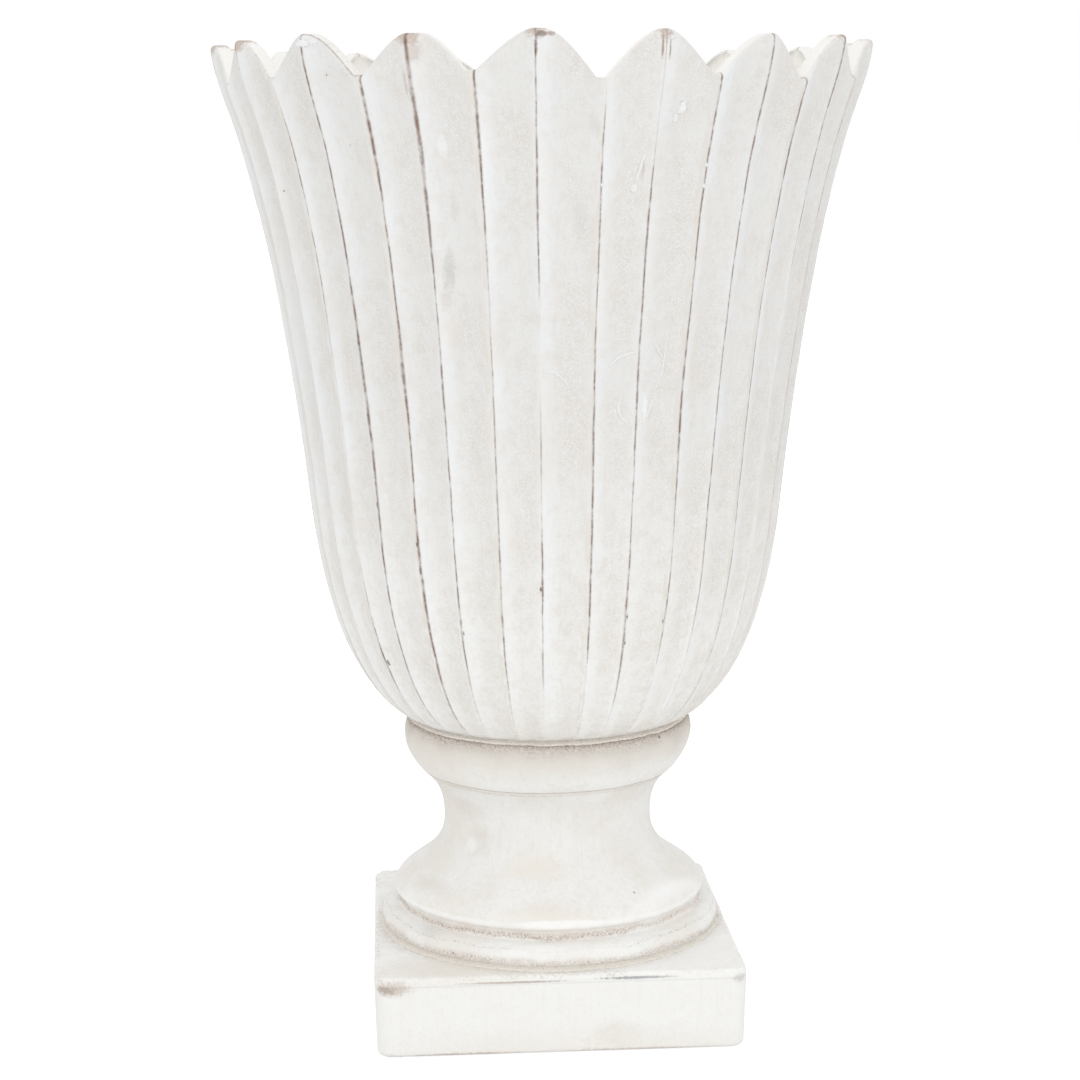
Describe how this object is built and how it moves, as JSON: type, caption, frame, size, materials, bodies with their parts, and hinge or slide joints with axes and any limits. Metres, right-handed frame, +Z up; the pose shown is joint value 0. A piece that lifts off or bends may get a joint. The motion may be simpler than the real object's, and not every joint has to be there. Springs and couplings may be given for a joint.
{
  "type": "urn planter",
  "caption": "Tall fluted bowl with a petal-cut rim, bedded on a turned hollow pedestal and a square plinth, with a drain hole all the way down.",
  "frame": {"origin": "middle of the plinth's underside, on the ground", "axes": "+Z up along the urn's axis; X and Y along the plinth's sides; -Y is the front in the picture"},
  "size_m": [0.405, 0.406, 0.61],
  "materials": {
    "limewashed_stone": "matte distressed limewash over cast stone",
    "bed_mortar": "rough lime mortar"
  },
  "bodies": {
    "root": {"plinth": "limewashed_stone", "plinth_bed": "bed_mortar", "pedestal": "limewashed_stone", "bowl_bed": "bed_mortar", "bowl": "limewashed_stone"}
  },
  "joints": []
}
